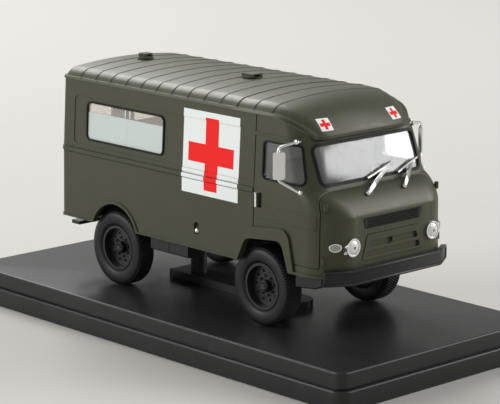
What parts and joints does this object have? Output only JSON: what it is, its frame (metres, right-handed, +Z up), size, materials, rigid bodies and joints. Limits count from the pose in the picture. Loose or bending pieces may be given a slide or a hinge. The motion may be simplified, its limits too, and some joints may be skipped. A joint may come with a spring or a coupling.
{
  "type": "display scale model of a military ambulance van",
  "caption": "Display scale model of an olive military ambulance van held on a black plinth; its wheels turn on their axle pins.",
  "frame": {"origin": "centre of the plinth's underside", "axes": "+X towards the van's nose, +Y to its left, +Z up"},
  "size_m": [0.153, 0.075, 0.0712],
  "materials": {
    "black_plastic": "matt black moulding",
    "body_paint": "matt olive green paint",
    "chrome": "bright plating",
    "clear_glass": "clear glazing",
    "grille_black": "dark slatted moulding",
    "interior_grey": "grey moulding",
    "lamp_clear": "clear lens",
    "lamp_red": "red lens",
    "plinth_black": "satin black moulding",
    "steel": "plain steel",
    "tyre": "matt dark grey rubber",
    "wheel_paint": "dark grey moulding"
  },
  "bodies": {
    "model": {"bulkhead": "interior_grey", "bumper_irons": "black_plastic", "cab_shell": "body_paint", "cab_steps": "black_plastic", "dashboard": "interior_grey", "door_handles": "chrome", "door_hinges": "body_paint", "door_windows": "clear_glass", "drive_shafts": "black_plastic", "engine_cover": "interior_grey", "engine_hatch": "body_paint", "floor_pan": "black_plastic", "frame": "black_plastic", "front_arch_flares": "body_paint", "front_axle_housing": "black_plastic", "front_bumper": "black_plastic", "fuel_filler": "chrome", "grille": "grille_black", "headlight_bezels": "chrome", "headlight_lenses": "lamp_clear", "indicator_bezels": "chrome", "indicators": "lamp_clear", "leaf_springs": "black_plastic", "mirror_left": "chrome", "mirror_right": "chrome", "pedestal": "black_plastic", "pedestal_screws": "steel", "plinth": "plinth_black", "rear_axle_housing": "black_plastic", "rear_panel": "body_paint", "rear_step": "black_plastic", "rear_windows": "clear_glass", "roof": "body_paint", "roof_vents": "body_paint", "seats": "interior_grey", "side_panel_left": "body_paint", "side_panel_right": "body_paint", "side_windows": "clear_glass", "sill_lockers": "black_plastic", "steering_wheel": "interior_grey", "tail_lamps": "lamp_red", "transfer_case": "black_plastic", "wheel_wells_front": "black_plastic", "wheel_wells_rear": "black_plastic", "window_seals": "black_plastic", "windscreen": "clear_glass", "wiper_left": "chrome", "wiper_right": "chrome"},
    "front_wheels": {"axle_pin_front": "steel", "tyre_front_left": "tyre", "tyre_front_right": "tyre", "wheel_front_left": "wheel_paint", "wheel_front_right": "wheel_paint"},
    "rear_wheels": {"axle_pin_rear": "steel", "tyre_rear_left": "tyre", "tyre_rear_right": "tyre", "wheel_rear_left": "wheel_paint", "wheel_rear_right": "wheel_paint"}
  },
  "joints": [
    {"name": "front_wheels_turn", "type": "hinge", "parent": "model", "child": "front_wheels", "pos_m": [0.0305, 0, 0.0201], "axis": [0, 1, 0], "continuous": true},
    {"name": "rear_wheels_turn", "type": "hinge", "parent": "model", "child": "rear_wheels", "pos_m": [-0.028, 0, 0.0201], "axis": [0, 1, 0], "continuous": true}
  ]
}
